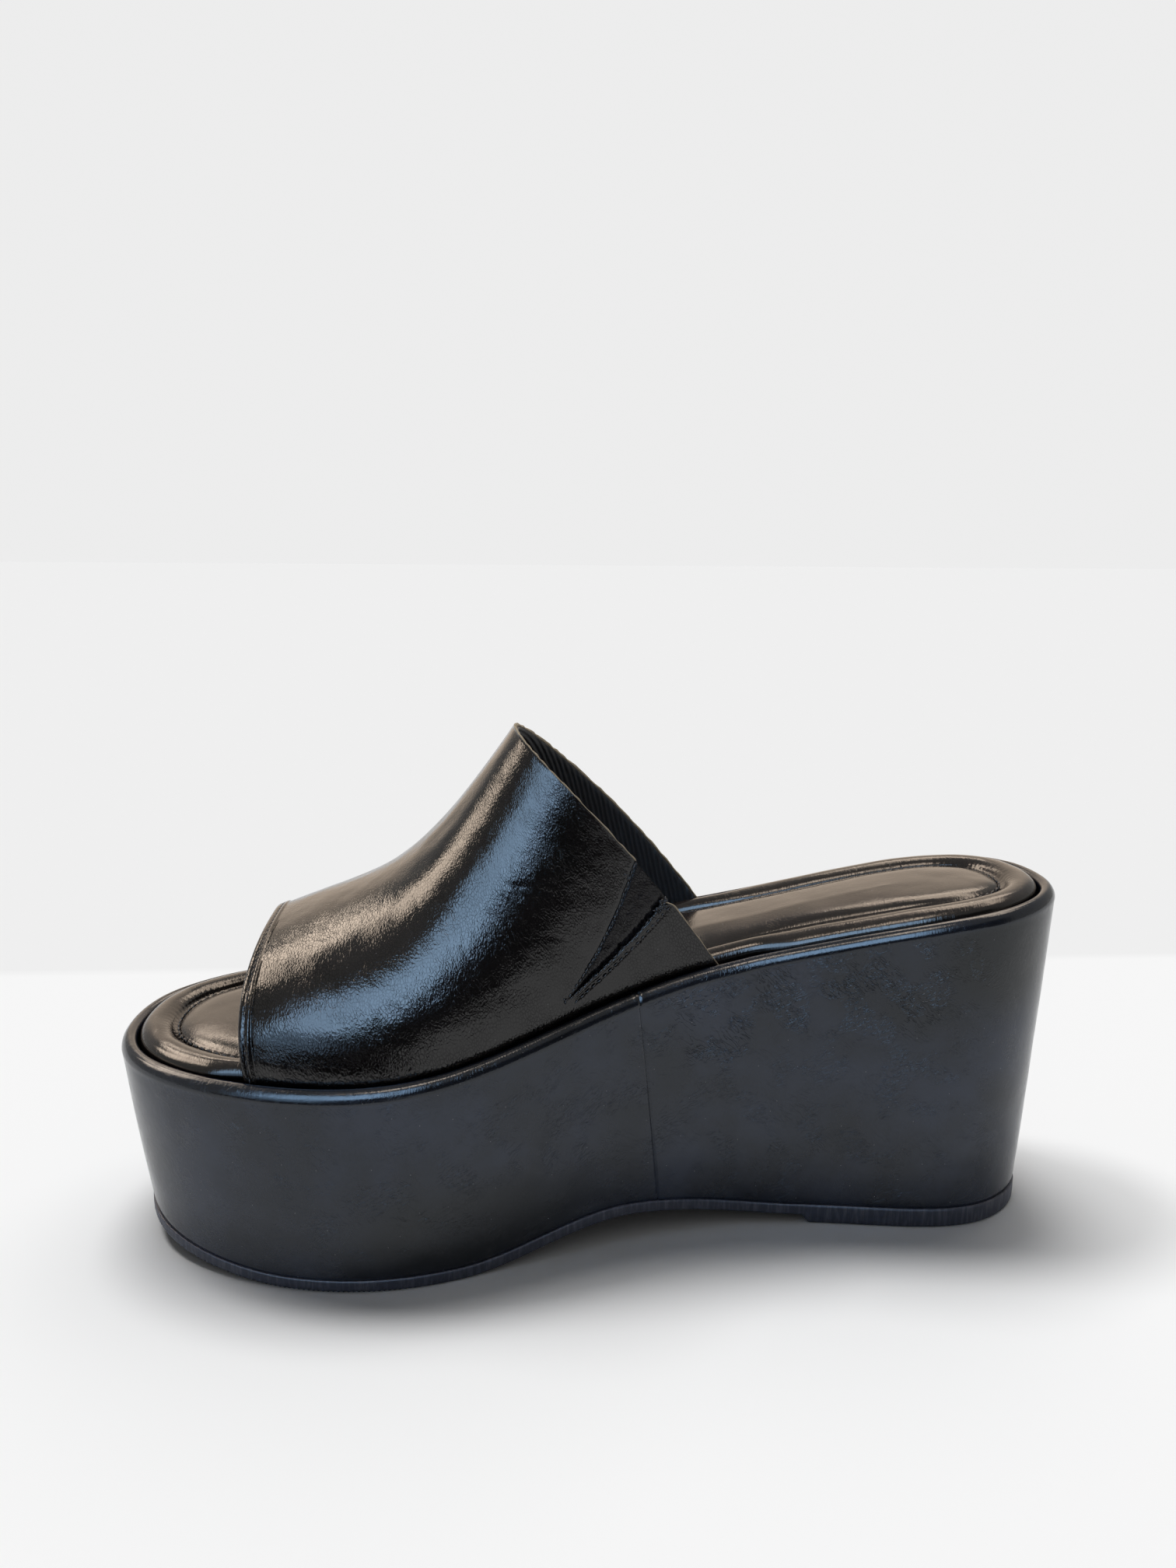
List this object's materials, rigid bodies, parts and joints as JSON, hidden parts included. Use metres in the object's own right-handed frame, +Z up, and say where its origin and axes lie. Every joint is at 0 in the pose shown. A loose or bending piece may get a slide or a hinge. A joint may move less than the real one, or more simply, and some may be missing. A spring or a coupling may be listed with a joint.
{
  "type": "flatform slide sandal",
  "caption": "Right slide sandal with a tall wrapped wedge platform, a padded insole in a rolled rim, one wide instep strap with a small side gusset, and a thin arched rubber sole.",
  "frame": {"origin": "under the middle of the sandal's bounding box, on the floor it stands on", "axes": "+X towards the toe, +Y towards the medial side, the wearer's left on this right shoe, +Z up"},
  "size_m": [0.254, 0.0984, 0.1318],
  "materials": {
    "outsole_rubber": "matte, scratched, fine vertical marks on its edge",
    "platform_patent": "semi-gloss coated, finely creased",
    "insole_patent": "gloss coated, padded, stitched",
    "strap_patent": "high gloss, crinkled grain",
    "gusset_stretch": "gloss, finely wrinkled stretch inset"
  },
  "bodies": {
    "root": {"outsole": "outsole_rubber", "platform": "platform_patent", "insole": "insole_patent", "upper": "strap_patent", "gusset": "gusset_stretch"}
  },
  "joints": []
}
